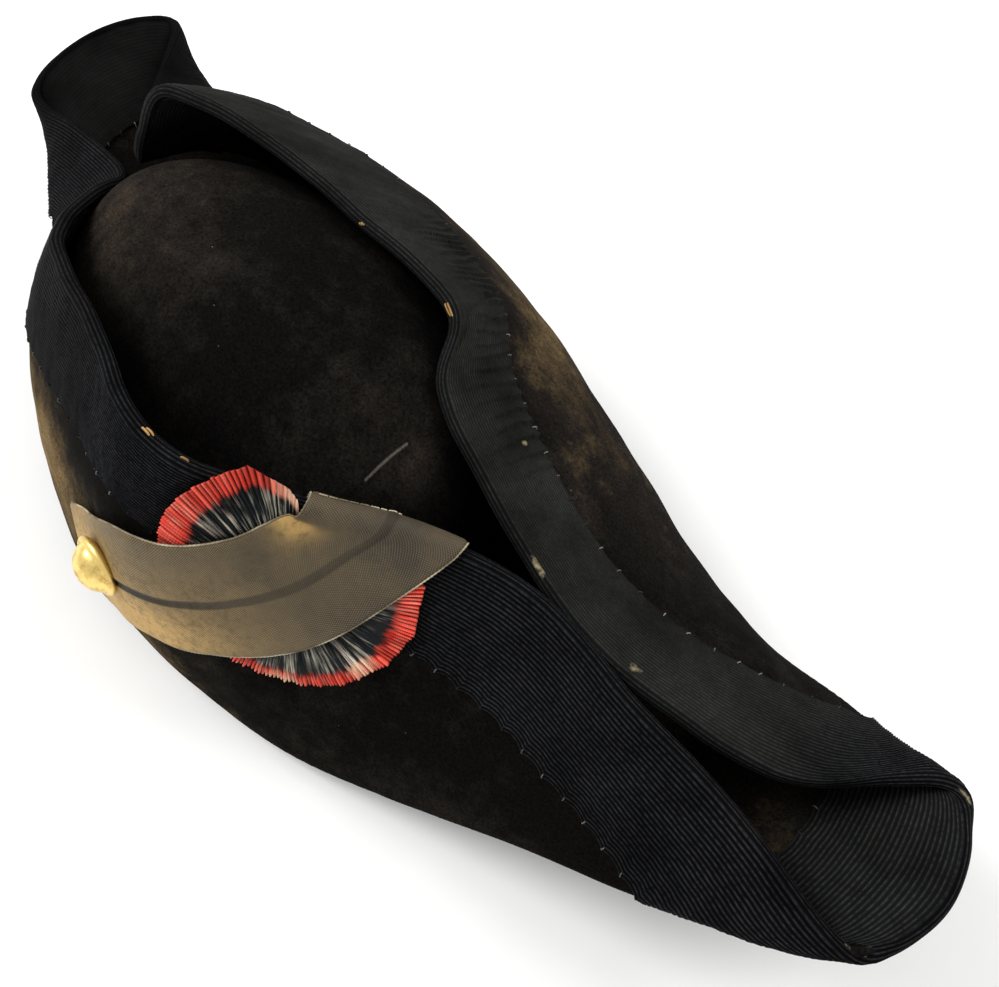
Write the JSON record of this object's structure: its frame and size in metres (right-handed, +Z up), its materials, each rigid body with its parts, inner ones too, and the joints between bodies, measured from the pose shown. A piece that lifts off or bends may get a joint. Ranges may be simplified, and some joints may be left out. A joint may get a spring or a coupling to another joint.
{
  "type": "bicorne hat",
  "caption": "Black felt bicorne with a domed crown, a brim cocked up into two leaning flaps, a ribbed ribbon edge, a pleated cockade, a lace loop and a domed button.",
  "frame": {"origin": "middle of the hat's box, on the surface it rests on", "axes": "+X to the near horn, along the hat; +Y to the plain, taller flap; +Z up"},
  "size_m": [0.4464, 0.1948, 0.1195],
  "materials": {
    "black_felt": "matt brushed nap, worn brown",
    "silk_ribbon": "ribbed, slight sheen",
    "cockade_ribbon": "pleated, worn",
    "metal_lace": "tarnished woven metal thread",
    "gilt_brass": "worn gilt"
  },
  "bodies": {
    "root": {"crown": "black_felt", "brim": "black_felt", "edge_binding": "silk_ribbon", "cockade": "cockade_ribbon", "loop_strap": "metal_lace", "button": "gilt_brass"}
  },
  "joints": []
}
